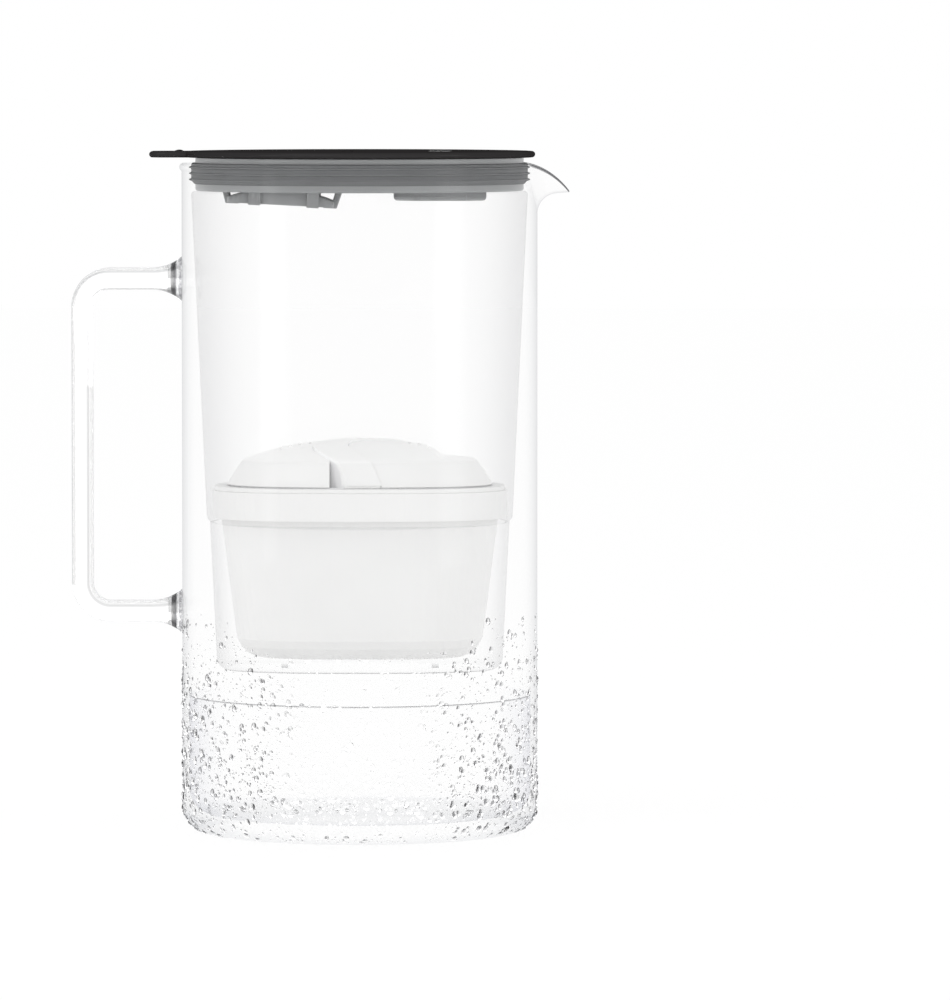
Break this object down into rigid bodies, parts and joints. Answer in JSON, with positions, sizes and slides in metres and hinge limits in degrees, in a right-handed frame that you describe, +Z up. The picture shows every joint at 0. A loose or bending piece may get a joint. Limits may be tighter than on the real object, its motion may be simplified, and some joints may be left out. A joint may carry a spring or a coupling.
{
  "type": "water filter pitcher",
  "caption": "Clear glass jug with a rod handle and pulled lip, a hanging clear hopper with an oval filter cartridge, and a flat black lid whose filling hatch flips up by a tab.",
  "frame": {"origin": "centre of the jug's flat base, on the jug's axis", "axes": "+Z up along the jug's axis; +X towards the pouring lip; -X towards the handle"},
  "size_m": [0.1758, 0.1266, 0.24],
  "materials": {
    "jug_glass": "clear, polished",
    "hopper_plastic": "clear, polished",
    "grey_plastic": "satin",
    "grey_rubber": "satin",
    "white_rubber": "matte",
    "cartridge_plastic": "satin, translucent",
    "mesh": "fine woven mesh",
    "granules": "packed granules",
    "black_plastic": "satin",
    "button_plastic": "matte",
    "circuit_board": "solder resist",
    "contact_metal": "plated",
    "steel": "bright",
    "black_rubber": "matte",
    "window": "polished"
  },
  "bodies": {
    "jug": {"jug_body": "jug_glass", "jug_handle": "jug_glass"},
    "hopper": {"hopper_tank": "hopper_plastic", "collar_ring": "grey_plastic", "collar_gasket": "grey_rubber"},
    "cartridge": {"cartridge_cup": "cartridge_plastic", "cartridge_cap": "cartridge_plastic", "cartridge_seal": "white_rubber", "inlet_screen": "mesh", "outlet_screen": "mesh", "filter_media": "granules"},
    "lid": {"lid_plate": "black_plastic", "lid_frame": "grey_plastic", "splash_cradle": "grey_plastic", "splash_plate": "grey_plastic", "timer_housing": "grey_plastic", "timer_board": "circuit_board", "contact_clips": "contact_metal", "coin_cell": "steel", "battery_cover": "grey_plastic", "battery_seal": "black_rubber", "timer_window": "window", "hinge_pin": "steel"},
    "hatch": {"flip_hatch": "black_plastic"},
    "button": {"reset_button": "button_plastic"}
  },
  "joints": [
    {"name": "hopper_lift", "type": "slide", "parent": "jug", "child": "hopper", "axis": [0, 0, 1], "range_m": [0, 0.19]},
    {"name": "cartridge_lift", "type": "slide", "parent": "hopper", "child": "cartridge", "axis": [0, 0, 1], "range_m": [0, 0.07]},
    {"name": "lid_lift", "type": "slide", "parent": "hopper", "child": "lid", "axis": [0, 0, 1], "range_m": [0, 0.05]},
    {"name": "hatch_flip", "type": "hinge", "parent": "lid", "child": "hatch", "pos_m": [-0.004, 0, 0.2379], "axis": [0, 1, 0], "range_deg": [0, 95]},
    {"name": "button_press", "type": "slide", "parent": "lid", "child": "button", "axis": [0, 0, -1], "range_m": [0, 0.0008], "stiffness_N_per_m": 500, "springref_m": -0.001}
  ]
}
